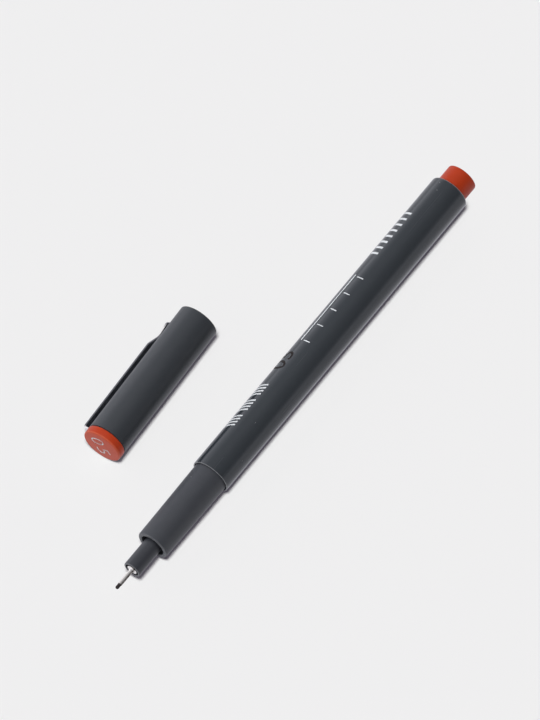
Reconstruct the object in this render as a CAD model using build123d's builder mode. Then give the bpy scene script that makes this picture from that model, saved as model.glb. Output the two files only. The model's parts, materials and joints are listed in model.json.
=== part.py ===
"""Fineliner pen lying uncapped on a table, with its cap beside it. Millimetres.

+X runs along the pen from the nib to the tail, and +Z is up from the table at Z = 0.
Places along the pen are measured from the barrel's front rim, and places along the cap
from its mouth towards its closed end.
"""

import os
from math import acos, atan2, cos, hypot, radians, sin

from build123d import *

# Fits and cuts shared by all pieces
FIT = 0.03
OVERRUN = 1.0

# Barrel
BARREL_OD = 10.0
BARREL_LENGTH = 95.1
BARREL_WALL = 0.95
LIP_WALL = 0.38
LIP_DEPTH = 1.2
LIP_CHAMFER = 0.12
BARREL_END_ROUND = 0.8
RIB_COUNT = 6
RIB_HEIGHT = 0.3
RIB_WIDTH = 0.8

# Snap bead that holds the grip's stem in the barrel
BEAD_PLACE = 8.0
BEAD_WIDTH = 1.0
BEAD_HEIGHT = 0.18

# Grip section
GRIP_LENGTH = 22.7
GRIP_LIP_GAP = 0.17
GRIP_TAPER = 0.25
GRIP_MOUTH_CHAMFER = 0.3
GRIP_MOUTH_INNER_CHAMFER = 0.15
MOUTH_CHAMFER_SHARE = 0.4
RECESS_GAP = 0.85
RECESS_DEPTH = 5.5
WEB_LENGTH = 2.0
STEM_LENGTH = 12.8
STEM_WALL = 0.85

# Nose that holds the tip
NOSE_OD = 4.55
NOSE_LENGTH = 8.0
NOSE_CHAMFER = 0.25
NOSE_CHAMFER_SHARE = 0.6
NOSE_MOUTH_STEP = 0.36
NOSE_MOUTH_DEPTH = 0.5
COLLAR_STEP = 0.6
COLLAR_LENGTH = 9.0
VENT_COUNT = 4
VENT_WIDTH = 0.8
VENT_DEPTH = 0.35
VENT_LEAD = 1.5

# Steel needle sleeve
NEEDLE_OD = 1.08
NEEDLE_LENGTH = 4.1
NEEDLE_CHAMFER = 0.03
BELL_LENGTH = 0.85
BELL_RISE = 0.75
SKIRT_OD = 2.9
SKIRT_LENGTH = 4.8
SKIRT_WALL = 0.35
BELL_SINK = 0.25

# Nib, wick and reservoir
NIB_OD = 0.9
NIB_PROUD = 1.4
NIB_LENGTH = 12.8
WICK_OD = 2.2
WICK_LENGTH = 48.0
WICK_SOCKET_DEPTH = 2.5
WICK_GAP = 0.05
WICK_CHAMFER = 0.25
RESERVOIR_GAP = 0.05
RESERVOIR_LENGTH = 70.0
RESERVOIR_FRONT_GAP = 1.0
FILM_WALL = 0.15
FILM_GAP = 0.02

# Tail plug
TAIL_FIT = 0.05
TAIL_PROUD = 4.8
TAIL_INSERT = 9.0
TAIL_WALL = 1.0
TAIL_FLOOR = 1.6
TAIL_CHAMFER = 0.4

# Cap tube
CAP_LENGTH = 38.27
CAP_WALL = 0.6
CAP_CLEARANCE = 0.1
CAP_MOUTH_CHAMFER = 0.15
LEDGE_GAP = 1.7
LEDGE_LENGTH = 1.4
LEDGE_HEIGHT = 1.25

# Inner cap that seals round the nose
SEAL_CLEARANCE = 0.05
SEAL_WALL = 0.55
SEAL_RECESS = 0.2
SEAL_FLANGE = 1.2
SEAL_NIB_GAP = 0.5
SEAL_END_GAP = 0.3
SEAL_FLOOR = 0.5
SEAL_LEAD = 0.3

# Cap plug
CAP_PLUG_THICKNESS = 2.28
CAP_PLUG_CHAMFER = 0.25
SPIGOT_GAP = 0.25
SPIGOT_FLOOR_GAP = 0.3

# Clip
CLIP_WIDTH = 3.8
CLIP_THICKNESS = 0.45
CLIP_STANDOFF = 1.95
CLIP_BEND_PLACE = 11.1
CLIP_TOUCH_PLACE = 8.4
CLIP_TIP_PLACE = 3.4
CLIP_TOUCH_GAP = 0.08
CLIP_TIP_STANDOFF = 1.25
CLIP_CORNER_ROUND = 1.3
CLIP_ROOT_RADIUS = 0.75
CLIP_BEND_RADIUS = 0.9
CLIP_TOUCH_RADIUS = 1.6
CLIP_TABLE_GAP = 0.06
TONGUE_WIDTH = 2.6
TONGUE_SIDE_GAP = 0.2
TONGUE_TOP_GAP = 0.12
TONGUE_FLOOR_GAP = 0.22
TONGUE_SHOULDER = 0.35
HOOK_RADIUS = 0.4
HOOK_LENGTH = 2.2
HOOK_OUTER_GAP = 0.45
HOOK_INNER_GAP = 0.16
HOOK_END_GAP = 0.4

# Where the pen and the cap lie
PEN_SIDE = -14.344
CAP_MOUTH_AHEAD = 31.4
CAP_MOUTH_SIDE = 27.05
CAP_HEADING_DEG = 2.49

# Radii and places that follow from the sizes above
barrel_r = BARREL_OD / 2
bore_r = barrel_r - BARREL_WALL
lip_r = barrel_r - LIP_WALL
rib_r = bore_r - RIB_HEIGHT
grip_rear_r = lip_r - GRIP_LIP_GAP
grip_front_r = grip_rear_r - GRIP_TAPER
stem_r = bore_r - FIT
chamber_r = stem_r - STEM_WALL
stem_end = LIP_DEPTH + STEM_LENGTH
bead_at = LIP_DEPTH + BEAD_PLACE
nose_r = NOSE_OD / 2
recess_r = nose_r + RECESS_GAP
collar_r = nose_r + COLLAR_STEP
recess_floor = RECESS_DEPTH - GRIP_LENGTH
web_end = recess_floor + WEB_LENGTH
collar_end = web_end + COLLAR_LENGTH
nose_front = -GRIP_LENGTH - NOSE_LENGTH
bell_front = nose_front + BELL_SINK - BELL_LENGTH
needle_front = bell_front - NEEDLE_LENGTH
nib_front = needle_front - NIB_PROUD
nib_end = nib_front + NIB_LENGTH
skirt_r = SKIRT_OD / 2
skirt_end = nose_front + BELL_SINK + SKIRT_LENGTH
socket_r = skirt_r + FIT
nose_mouth_r = socket_r + NOSE_MOUTH_STEP
nib_r = NIB_OD / 2
needle_bore_r = nib_r + FIT
needle_r = NEEDLE_OD / 2
wick_r = WICK_OD / 2
wick_front = nib_end + WICK_GAP - WICK_SOCKET_DEPTH
wick_end = wick_front + WICK_LENGTH
plug_end = BARREL_LENGTH + TAIL_PROUD
plug_front = BARREL_LENGTH - TAIL_INSERT
plug_r = bore_r - TAIL_FIT
film_r = rib_r - RESERVOIR_GAP
wad_r = film_r - FILM_WALL - FILM_GAP
reservoir_front = stem_end + RESERVOIR_FRONT_GAP
reservoir_end = reservoir_front + RESERVOIR_LENGTH

cap_bore_r = grip_rear_r + CAP_CLEARANCE
cap_r = cap_bore_r + CAP_WALL
ledge_r = cap_bore_r - LEDGE_HEIGHT
seal_floor = CAP_LENGTH - SEAL_END_GAP
tip_reach = -GRIP_LENGTH - nib_front
ledge_front = seal_floor - SEAL_NIB_GAP - tip_reach + LEDGE_GAP
ledge_back = ledge_front + LEDGE_LENGTH
seal_r = nose_r + SEAL_CLEARANCE
seal_outer_r = seal_r + SEAL_WALL
seal_mouth = ledge_front + SEAL_RECESS
flange_back = ledge_back + SEAL_FLANGE
seal_back = seal_floor + SEAL_FLOOR
spigot_r = cap_bore_r - FIT
spigot_bore_r = seal_outer_r + SPIGOT_GAP
spigot_floor = seal_back + SPIGOT_FLOOR_GAP
cap_end = CAP_LENGTH + CAP_PLUG_THICKNESS

half_sheet = CLIP_THICKNESS / 2
clip_outer_r = cap_r + CLIP_STANDOFF
arm_r = clip_outer_r - half_sheet
touch_r = cap_r + CLIP_TOUCH_GAP + half_sheet
tip_r = cap_r + CLIP_TIP_STANDOFF
tongue_at = CAP_LENGTH - TONGUE_TOP_GAP - half_sheet
notch_floor = tongue_at - half_sheet - TONGUE_FLOOR_GAP
shoulder_r = cap_r + TONGUE_SHOULDER
hook_r = cap_bore_r - HOOK_OUTER_GAP - half_sheet
pocket_r = hook_r - half_sheet - HOOK_INNER_GAP
hook_end = tongue_at - HOOK_LENGTH
pocket_end = hook_end - HOOK_END_GAP

# The cap rolls until the clip's lower edge almost meets the table
clip_corner_r = hypot(clip_outer_r, CLIP_WIDTH / 2)
corner_from_down = acos((cap_r - CLIP_TABLE_GAP) / clip_corner_r)
clip_from_down = corner_from_down + atan2(CLIP_WIDTH / 2, clip_outer_r)
heading = radians(CAP_HEADING_DEG)

# Planes that hold each axis, with local X along it
pen_plane = Plane(
    origin=(-(plug_end + nib_front) / 2, PEN_SIDE, barrel_r), x_dir=(1, 0, 0), z_dir=(0, -1, 0)
)
pen_axis = Axis(pen_plane.origin, pen_plane.x_dir)
cap_plane = Plane(
    origin=pen_plane.origin + Vector(CAP_MOUTH_AHEAD, CAP_MOUTH_SIDE, cap_r - barrel_r),
    x_dir=(-cos(heading), -sin(heading), 0),
    z_dir=(-sin(heading), cos(heading), 0),
)
cap_axis = Axis(cap_plane.origin, cap_plane.x_dir)

# The clip points away from the pen and down. One plane is its side view, the other its face
clip_out = cap_plane.z_dir * sin(clip_from_down) - cap_plane.y_dir * cos(clip_from_down)
clip_plane = Plane(cap_plane.origin, cap_plane.x_dir, z_dir=cap_plane.x_dir.cross(clip_out))
clip_face_plane = Plane(cap_plane.origin, cap_plane.x_dir, z_dir=clip_out)


def across(plane, place):
    """The plane square to an axis at a place along it."""
    centre = plane.from_local_coords(Vector(place, 0, 0))
    return Plane(origin=centre, x_dir=plane.y_dir, z_dir=plane.x_dir)


os.makedirs("parts", exist_ok=True)

# Barrel, with a thin lip round the grip, a groove for the snap bead and centring ribs
with BuildPart() as barrel:
    with BuildSketch(pen_plane):
        with BuildLine():
            Polyline(
                (0, lip_r),
                (0, barrel_r),
                (BARREL_LENGTH, barrel_r),
                (BARREL_LENGTH, bore_r),
                (bead_at + BEAD_WIDTH, bore_r),
                (bead_at + BEAD_WIDTH / 2, bore_r + BEAD_HEIGHT),
                (bead_at - BEAD_WIDTH / 2, bore_r + BEAD_HEIGHT),
                (bead_at - BEAD_WIDTH, bore_r),
                (LIP_DEPTH, bore_r),
                (LIP_DEPTH, lip_r),
                close=True,
            )
        make_face()
    revolve(axis=pen_axis)
    ends = barrel.faces().filter_by(GeomType.PLANE).sort_by(pen_axis)
    chamfer(ends[0].outer_wire().edges(), LIP_CHAMFER)
    fillet(ends[-1].outer_wire().edges(), BARREL_END_ROUND)
    with BuildSketch(across(pen_plane, reservoir_front)):
        with PolarLocations(rib_r, RIB_COUNT):
            Rectangle(RIB_HEIGHT + BARREL_WALL / 2, RIB_WIDTH, align=(Align.MIN, Align.CENTER))
    extrude(amount=plug_front - reservoir_front)
barrel.part.label = "barrel"
export_step(barrel.part, "parts/barrel.step")

# Grip section, tapered towards a bevelled mouth, with the stem that snaps into the barrel
with BuildPart() as grip_section:
    with BuildSketch(pen_plane):
        with BuildLine():
            Polyline(
                (-GRIP_LENGTH, recess_r),
                (-GRIP_LENGTH, grip_front_r),
                (0, grip_rear_r),
                (LIP_DEPTH, grip_rear_r),
                (LIP_DEPTH, stem_r),
                (bead_at - BEAD_WIDTH, stem_r),
                (bead_at - BEAD_WIDTH / 2, stem_r + BEAD_HEIGHT),
                (bead_at + BEAD_WIDTH / 2, stem_r + BEAD_HEIGHT),
                (bead_at + BEAD_WIDTH, stem_r),
                (stem_end, stem_r),
                (stem_end, chamber_r),
                (collar_end, chamber_r),
                (collar_end, collar_r + FIT),
                (web_end, collar_r + FIT),
                (web_end, nose_r + FIT),
                (recess_floor, nose_r + FIT),
                (recess_floor, recess_r),
                close=True,
            )
        make_face()
    revolve(axis=pen_axis)
    mouth_wall = grip_front_r - recess_r
    mouth = grip_section.faces().filter_by(GeomType.PLANE).sort_by(pen_axis)[0]
    chamfer(mouth.outer_wire().edges(), min(GRIP_MOUTH_CHAMFER, mouth_wall * MOUTH_CHAMFER_SHARE))
    mouth = grip_section.faces().filter_by(GeomType.PLANE).sort_by(pen_axis)[0]
    chamfer(
        mouth.inner_wires()[0].edges(),
        min(GRIP_MOUTH_INNER_CHAMFER, mouth_wall * MOUTH_CHAMFER_SHARE),
    )
grip_section.part.label = "grip_section"
export_step(grip_section.part, "parts/grip_section.step")

# Nose that holds the steel tip, with a stepped mouth, a collar and air grooves
with BuildPart() as nib_holder:
    with BuildSketch(pen_plane):
        with BuildLine():
            Polyline(
                (nose_front, nose_mouth_r),
                (nose_front, nose_r),
                (web_end, nose_r),
                (web_end, collar_r),
                (collar_end, collar_r),
                (collar_end, wick_r + WICK_GAP),
                (skirt_end, wick_r + WICK_GAP),
                (skirt_end, socket_r),
                (nose_front + NOSE_MOUTH_DEPTH, socket_r),
                close=True,
            )
        make_face()
    revolve(axis=pen_axis)
    front = nib_holder.faces().filter_by(GeomType.PLANE).sort_by(pen_axis)[0]
    nose_lip = nose_r - nose_mouth_r
    chamfer(front.outer_wire().edges(), min(NOSE_CHAMFER, nose_lip * NOSE_CHAMFER_SHARE))
    with BuildSketch(across(pen_plane, web_end)):
        with PolarLocations(collar_r - VENT_DEPTH, VENT_COUNT):
            Rectangle(VENT_DEPTH + OVERRUN, VENT_WIDTH, align=(Align.MIN, Align.CENTER))
    extrude(amount=collar_end - web_end, mode=Mode.SUBTRACT)
    with BuildSketch(across(pen_plane, recess_floor - VENT_LEAD)):
        with PolarLocations(nose_r - VENT_DEPTH, VENT_COUNT):
            Rectangle(VENT_DEPTH + COLLAR_STEP, VENT_WIDTH, align=(Align.MIN, Align.CENTER))
    extrude(amount=WEB_LENGTH + VENT_LEAD + VENT_WIDTH, mode=Mode.SUBTRACT)
nib_holder.part.label = "nib_holder"
export_step(nib_holder.part, "parts/nib_holder.step")

# Drawn steel sleeve: a needle tube, a bell that flares from it, and a skirt in the nose
with BuildPart() as needle_sleeve:
    bell_back = nose_front + BELL_SINK
    with BuildSketch(pen_plane):
        with BuildLine():
            Line((needle_front, needle_bore_r), (needle_front, needle_r))
            Line((needle_front, needle_r), (bell_front, needle_r))
            TangentArc((bell_front, needle_r), (bell_back, needle_r + BELL_RISE), tangent=(1, 0))
            Polyline(
                (bell_back, needle_r + BELL_RISE),
                (bell_back, skirt_r),
                (skirt_end, skirt_r),
                (skirt_end, skirt_r - SKIRT_WALL),
                (bell_back + SKIRT_WALL, skirt_r - SKIRT_WALL),
                (bell_back + SKIRT_WALL, needle_bore_r),
                (needle_front, needle_bore_r),
            )
        make_face()
    revolve(axis=pen_axis)
    rim = needle_sleeve.faces().filter_by(GeomType.PLANE).sort_by(pen_axis)[0]
    chamfer(rim.outer_wire().edges(), NEEDLE_CHAMFER)
needle_sleeve.part.label = "needle_sleeve"
export_step(needle_sleeve.part, "parts/needle_sleeve.step")

# Fibre nib with a ball end
with BuildPart() as fibre_nib:
    with BuildSketch(pen_plane):
        with BuildLine():
            CenterArc((nib_front + nib_r, 0), nib_r, 90, 90)
            Polyline((nib_front, 0), (nib_end, 0), (nib_end, nib_r), (nib_front + nib_r, nib_r))
        make_face()
    revolve(axis=pen_axis)
fibre_nib.part.label = "fibre_nib"
export_step(fibre_nib.part, "parts/fibre_nib.step")

# Wick from the nib back into the reservoir
with BuildPart() as feed_wick:
    with BuildSketch(pen_plane):
        with BuildLine():
            Polyline(
                (wick_front, nib_r + WICK_GAP),
                (wick_front, wick_r),
                (wick_end, wick_r),
                (wick_end, 0),
                (wick_front + WICK_SOCKET_DEPTH, 0),
                (wick_front + WICK_SOCKET_DEPTH, nib_r + WICK_GAP),
                close=True,
            )
        make_face()
    revolve(axis=pen_axis)
    chamfer(feed_wick.faces().sort_by(pen_axis)[-1].edges(), WICK_CHAMFER)
feed_wick.part.label = "feed_wick"
export_step(feed_wick.part, "parts/feed_wick.step")

# Ink reservoir, a fibre wad pierced by the wick, and the film wrapped round it
with BuildPart() as ink_reservoir:
    with BuildSketch(pen_plane):
        with BuildLine():
            Polyline(
                (reservoir_front, wick_r + WICK_GAP),
                (reservoir_front, wad_r),
                (reservoir_end, wad_r),
                (reservoir_end, 0),
                (wick_end + WICK_GAP, 0),
                (wick_end + WICK_GAP, wick_r + WICK_GAP),
                close=True,
            )
        make_face()
    revolve(axis=pen_axis)
ink_reservoir.part.label = "ink_reservoir"
export_step(ink_reservoir.part, "parts/ink_reservoir.step")

with BuildPart() as reservoir_film:
    with BuildSketch(across(pen_plane, reservoir_front)):
        Circle(film_r)
        Circle(film_r - FILM_WALL, mode=Mode.SUBTRACT)
    extrude(amount=RESERVOIR_LENGTH)
reservoir_film.part.label = "reservoir_film"
export_step(reservoir_film.part, "parts/reservoir_film.step")

# Tail plug, a hollow cup pushed in until it meets the barrel's ribs
with BuildPart() as tail_plug:
    with BuildSketch(across(pen_plane, plug_front)):
        Circle(plug_r)
    extrude(amount=TAIL_INSERT + TAIL_PROUD)
    with BuildSketch(across(pen_plane, plug_front)):
        Circle(plug_r - TAIL_WALL)
    extrude(amount=TAIL_INSERT + TAIL_PROUD - TAIL_FLOOR, mode=Mode.SUBTRACT)
    chamfer(tail_plug.faces().sort_by(pen_axis)[-1].edges(), TAIL_CHAMFER)
tail_plug.part.label = "tail_plug"
export_step(tail_plug.part, "parts/tail_plug.step")

# Cap tube, with the ledge that carries the inner cap and a notch for the clip's tongue
with BuildPart() as cap_tube:
    with BuildSketch(cap_plane):
        with BuildLine():
            Polyline(
                (0, cap_bore_r),
                (0, cap_r),
                (CAP_LENGTH, cap_r),
                (CAP_LENGTH, cap_bore_r),
                (ledge_back, cap_bore_r),
                (ledge_back, ledge_r),
                (ledge_front, ledge_r),
                (ledge_front, cap_bore_r),
                close=True,
            )
        make_face()
    revolve(axis=cap_axis)
    chamfer(cap_tube.faces().sort_by(cap_axis)[0].outer_wire().edges(), CAP_MOUTH_CHAMFER)
    with BuildSketch(clip_plane):
        with Locations((notch_floor, (cap_r + ledge_r) / 2)):
            Rectangle(
                CAP_LENGTH - notch_floor + OVERRUN, cap_r - ledge_r + OVERRUN,
                align=(Align.MIN, Align.CENTER),
            )
    extrude(amount=TONGUE_WIDTH / 2 + TONGUE_SIDE_GAP, both=True, mode=Mode.SUBTRACT)
cap_tube.part.label = "cap_tube"
export_step(cap_tube.part, "parts/cap_tube.step")

# Inner cap, a soft sleeve with a flange that sits on the ledge
with BuildPart() as inner_cap:
    with BuildSketch(cap_plane):
        with BuildLine():
            Polyline(
                (seal_mouth, seal_r + SEAL_LEAD),
                (seal_mouth, seal_outer_r),
                (ledge_back, seal_outer_r),
                (ledge_back, spigot_r),
                (flange_back, spigot_r),
                (flange_back, seal_outer_r),
                (seal_back, seal_outer_r),
                (seal_back, 0),
                (seal_floor, 0),
                (seal_floor, seal_r),
                (seal_mouth + SEAL_LEAD, seal_r),
                close=True,
            )
        make_face()
    revolve(axis=cap_axis)
inner_cap.part.label = "inner_cap"
export_step(inner_cap.part, "parts/inner_cap.step")

# Cap plug, a disc with a spigot that clamps the inner cap, and a pocket for the clip's hook
with BuildPart() as cap_plug:
    with BuildSketch(cap_plane):
        with BuildLine():
            Polyline(
                (flange_back, spigot_bore_r),
                (flange_back, spigot_r),
                (CAP_LENGTH, spigot_r),
                (CAP_LENGTH, cap_r),
                (cap_end, cap_r),
                (cap_end, 0),
                (spigot_floor, 0),
                (spigot_floor, spigot_bore_r),
                close=True,
            )
        make_face()
    revolve(axis=cap_axis)
    chamfer(cap_plug.faces().sort_by(cap_axis)[-1].edges(), CAP_PLUG_CHAMFER)
    with BuildSketch(clip_plane):
        with Locations((pocket_end, pocket_r)):
            Rectangle(CAP_LENGTH - pocket_end, cap_r - pocket_r, align=(Align.MIN, Align.MIN))
    extrude(amount=TONGUE_WIDTH / 2 + TONGUE_SIDE_GAP, both=True, mode=Mode.SUBTRACT)
cap_plug.part.label = "cap_plug"
export_step(cap_plug.part, "parts/cap_plug.step")

# Clip, one bent strip: a hook inside the cap, a tongue through the notch, and a sprung arm
with BuildPart() as clip:
    with BuildSketch(clip_plane):
        with BuildLine():
            FilletPolyline(
                (hook_end, hook_r),
                (tongue_at, hook_r),
                (tongue_at, shoulder_r),
                radius=HOOK_RADIUS,
            )
            offset(amount=half_sheet, kind=Kind.INTERSECTION)
        make_face()
    extrude(amount=TONGUE_WIDTH / 2, both=True)
    with BuildSketch(clip_plane):
        with BuildLine():
            FilletPolyline(
                (tongue_at, shoulder_r),
                (tongue_at, arm_r),
                (CLIP_BEND_PLACE, arm_r),
                (CLIP_TOUCH_PLACE, touch_r),
                (CLIP_TIP_PLACE, tip_r),
                radius=(CLIP_ROOT_RADIUS, CLIP_BEND_RADIUS, CLIP_TOUCH_RADIUS),
            )
            offset(amount=half_sheet, kind=Kind.INTERSECTION)
        make_face()
    extrude(amount=CLIP_WIDTH / 2, both=True)
    with BuildSketch(clip_face_plane):
        with Locations((CLIP_TIP_PLACE - half_sheet, 0)):
            Rectangle(CAP_LENGTH, CLIP_WIDTH, align=(Align.MIN, Align.CENTER))
        fillet(vertices().group_by(Axis.X)[0], CLIP_CORNER_ROUND)
    extrude(amount=clip_outer_r + OVERRUN, mode=Mode.INTERSECT)
clip.part.label = "clip"
export_step(clip.part, "parts/clip.step")
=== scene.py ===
"""Looks of a fineliner pen that lies uncapped on a table, with its cap beside it.

Pieces are drawn in millimetres along the X axis of their own group, the pen or the cap,
and are then scaled to metres and laid where the frame says. Places along the pen start at
the barrel's front rim, and places along the cap at its mouth.
"""

import json
import math

import bpy
from mathutils import Matrix, Vector


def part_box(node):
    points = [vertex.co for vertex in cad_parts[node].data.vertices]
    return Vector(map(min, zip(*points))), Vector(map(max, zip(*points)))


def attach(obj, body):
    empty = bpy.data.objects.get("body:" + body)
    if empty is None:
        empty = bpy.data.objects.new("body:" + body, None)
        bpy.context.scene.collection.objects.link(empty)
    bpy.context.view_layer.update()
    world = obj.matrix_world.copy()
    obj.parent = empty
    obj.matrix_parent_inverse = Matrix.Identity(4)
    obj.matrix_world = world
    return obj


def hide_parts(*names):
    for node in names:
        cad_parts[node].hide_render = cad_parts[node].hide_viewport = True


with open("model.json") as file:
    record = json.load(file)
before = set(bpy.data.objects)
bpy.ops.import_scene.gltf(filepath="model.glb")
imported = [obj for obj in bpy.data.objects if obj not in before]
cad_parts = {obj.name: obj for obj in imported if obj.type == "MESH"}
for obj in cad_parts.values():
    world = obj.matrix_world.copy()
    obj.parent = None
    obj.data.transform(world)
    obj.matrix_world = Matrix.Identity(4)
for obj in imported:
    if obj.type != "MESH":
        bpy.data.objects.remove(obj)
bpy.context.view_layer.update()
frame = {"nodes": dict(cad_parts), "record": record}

# The drawing unit in metres, and tolerances and fineness in that unit
MM = 0.001
WELD = 0.0005
TURN_STEPS = 128
FINE_TURN_STEPS = 64
CORNER_STEPS = 6
SMOOTH_ANGLE_DEG = 32
OVERRUN = 1.0

# Camera in metres and degrees, aimed at a point at the height of the pen's axis
CAMERA_AZIMUTH_DEG = -53.1
CAMERA_ELEVATION_DEG = 63.13
CAMERA_DISTANCE = 4.0
CAMERA_VIEW_HEIGHT = 0.17074
CAMERA_TARGET = (0.001676, -0.007064, 0.005)
SENSOR_SIDE = 36.0

# Table and light
TABLE_WHITE = 0.863
TABLE_PAINT = (0.863, 0.871, 0.852)
TABLE_SIDE = 8.0
TABLE_GLOW_SHARE = 0.06
TABLE_GLOW_TINT = (1.0, 0.86, 1.14)
TABLE_MIRROR_SHARE = 0.15
TABLE_MIRROR_LEVEL = 0.95
TABLE_MIRROR_TINT = (0.93, 0.92, 1.45)
TABLE_LIGHT = {"level": 0.975, "angle_deg": 13, "tilt_deg": (5.2, -14, 0)}
KEY_LIGHT = {"level": 0.9, "angle_deg": 75, "tilt_deg": (-18, -18, 0)}
FILL_LIGHT = {"level": 0.2, "angle_deg": 50, "tilt_deg": (58, 0, 0)}
ROOM_HEIGHT_STOPS = (
    (0.0, 1.15), (0.1, 1.0), (0.27, 0.48), (0.46, 0.28), (0.75, 0.4), (1.0, 0.5)
)
ROOM_SIDE_STOPS = ((0.3, 0.0), (0.57, 0.2), (0.8, 0.3), (0.93, 1.0))
ROOM_SOFT_SHARE = 0.1
ROOM_TINT = (0.97, 0.98, 1.06)
ROOM_SOFT_TINT = (0.97, 0.9, 1.06)

mounts = {mount["name"]: mount for mount in frame["record"]["mounts"]}


def span(node, origin, direction):
    """First place, last place and radius of a node along an axis, in millimetres."""
    offsets = [vertex.co - origin for vertex in frame["nodes"][node].data.vertices]
    places = [offset.dot(direction) for offset in offsets]
    radius = max((offset - direction * offset.dot(direction)).length for offset in offsets)
    return min(places) / MM, max(places) / MM, radius / MM


# Where the pen, the cap and the clip lie
pen_way = Vector((1, 0, 0))
pen_middle = Vector(mounts["barrel"]["pos_m"])
pen_origin = Vector((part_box("barrel")[0].x, pen_middle.y, pen_middle.z))
pen_lie = Matrix.Translation(pen_origin)
cap_way = -Vector(mounts["cap_bore"]["axis"])
cap_bore_length = mounts["cap_bore"]["dims"]["length_mm"]
cap_origin = Vector(mounts["cap_bore"]["pos_m"]) - cap_way * cap_bore_length * MM / 2
clip_out = Vector(mounts["clip_grip"]["axis"])
clip_across = clip_out.cross(cap_way)
cap_lie = (
    Matrix.Translation(cap_origin)
    @ Matrix((cap_way, clip_across, clip_out)).transposed().to_4x4()
)


# Modelling steps shared by the pieces
def only(piece):
    """Selects one piece and nothing else."""
    bpy.ops.object.select_all(action="DESELECT")
    piece.select_set(True)
    bpy.context.view_layer.objects.active = piece


def edit(piece):
    """Opens a piece for editing with all its vertices selected."""
    only(piece)
    bpy.ops.object.mode_set(mode="EDIT")
    bpy.ops.mesh.select_mode(type="VERT")
    bpy.ops.mesh.select_all(action="SELECT")


def pick(piece, wanted):
    """Opens a piece for editing with the vertices selected for which wanted(place) is true."""
    edit(piece)
    bpy.ops.mesh.select_all(action="DESELECT")
    bpy.ops.object.mode_set(mode="OBJECT")
    for vertex in piece.data.vertices:
        vertex.select = wanted(vertex.co)
    bpy.ops.object.mode_set(mode="EDIT")


def done():
    """Closes the piece that is open for editing."""
    bpy.ops.object.mode_set(mode="OBJECT")


def apply_modifier(piece, kind, **settings):
    """Adds a modifier with these settings and applies it to the mesh."""
    only(piece)
    modifier = piece.modifiers.new(kind.lower(), kind)
    for key, value in settings.items():
        setattr(modifier, key, value)
    bpy.ops.object.modifier_apply(modifier=modifier.name)


def apply_place(piece):
    """Moves a piece's place, turn and scale into its mesh."""
    only(piece)
    bpy.ops.object.transform_apply(location=True, rotation=True, scale=True)


def draw_chain(name, points):
    """A chain of edges in the XZ plane, drawn by extruding one vertex from point to point."""
    bpy.ops.object.select_all(action="DESELECT")
    bpy.ops.mesh.primitive_plane_add(size=1, location=(0, 0, 0))
    piece = bpy.context.active_object
    piece.name = name
    piece.data.name = name
    edit(piece)
    bpy.ops.mesh.merge(type="CENTER")
    bpy.ops.transform.translate(value=(points[0][0], 0, points[0][1]))
    for before, after in zip(points, points[1:]):
        step = (after[0] - before[0], 0, after[1] - before[1])
        bpy.ops.mesh.extrude_vertices_move(TRANSFORM_OT_translate={"value": step})
    bpy.ops.mesh.select_all(action="SELECT")
    bpy.ops.mesh.remove_doubles(threshold=WELD)
    done()
    return piece


def round_corner(piece, place, tangent, steps=CORNER_STEPS):
    """Rounds the chain's corner at a place (x, z), starting a tangent length before it."""
    corner = Vector((place[0], 0, place[1]))
    pick(piece, lambda at: (at - corner).length < WELD)
    bpy.ops.mesh.bevel(offset=tangent, segments=steps, affect="VERTICES")
    done()


def turn(name, profile, steps=TURN_STEPS):
    """Spins a profile of (place, radius, rounding) round the X axis into a closed piece."""
    points = [(place, radius) for place, radius, _ in profile]
    if points[0][1] > 0:
        points.append(points[0])
    piece = draw_chain(name, points)
    for place, radius, rounding in profile:
        if rounding > 0:
            round_corner(piece, (place, radius), rounding)
    edit(piece)
    bpy.ops.mesh.spin(steps=steps, angle=2 * math.pi, center=(0, 0, 0), axis=(1, 0, 0))
    bpy.ops.mesh.select_all(action="SELECT")
    bpy.ops.mesh.remove_doubles(threshold=WELD)
    bpy.ops.mesh.normals_make_consistent(inside=False)
    done()
    return piece


def cut_block(piece, low, high):
    """Cuts a block with these corners out of a piece."""
    middle = [(a + b) / 2 for a, b in zip(low, high)]
    size = [b - a for a, b in zip(low, high)]
    bpy.ops.object.select_all(action="DESELECT")
    bpy.ops.mesh.primitive_cube_add(size=1, location=middle, scale=size)
    block = bpy.context.active_object
    apply_place(block)
    apply_modifier(piece, "BOOLEAN", operation="DIFFERENCE", solver="EXACT", object=block)
    bpy.data.objects.remove(block)


def lay(piece, lie):
    """Scales a piece from millimetres to metres and lays it in its place."""
    piece.matrix_world = lie @ Matrix.Scale(MM, 4)
    apply_place(piece)


def settle(piece, materials, body, node=None, tints_table=False):
    """Gives a piece its finish and hands it to its body.

    One that would tint the table gives no diffuse bounce.
    """
    only(piece)
    bpy.ops.object.shade_smooth_by_angle(angle=math.radians(SMOOTH_ANGLE_DEG))
    if not piece.data.materials:
        for material in materials:
            piece.data.materials.append(material)
    piece.visible_diffuse = not tints_table
    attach(piece, body)
    if node:
        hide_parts(node)


# Shader groups shared by the materials
def new_group(name, inputs, outputs):
    """A shader group. A default of three numbers makes a vector input."""
    group = bpy.data.node_groups.new(name, "ShaderNodeTree")
    for label, default in inputs:
        kind = "NodeSocketVector" if isinstance(default, tuple) else "NodeSocketFloat"
        socket = group.interface.new_socket(label, in_out="INPUT", socket_type=kind)
        socket.default_value = default
    for label in outputs:
        group.interface.new_socket(label, in_out="OUTPUT", socket_type="NodeSocketFloat")
    return group, group.nodes.new("NodeGroupInput"), group.nodes.new("NodeGroupOutput")


def add(tree, kind, **settings):
    """Adds a node. A setting that names an input sets its value, another sets a property."""
    node = tree.nodes.new(kind)
    for key, value in settings.items():
        label = key.replace("_", " ")
        if label in node.inputs:
            node.inputs[label].default_value = value
        else:
            setattr(node, key, value)
    return node


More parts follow.
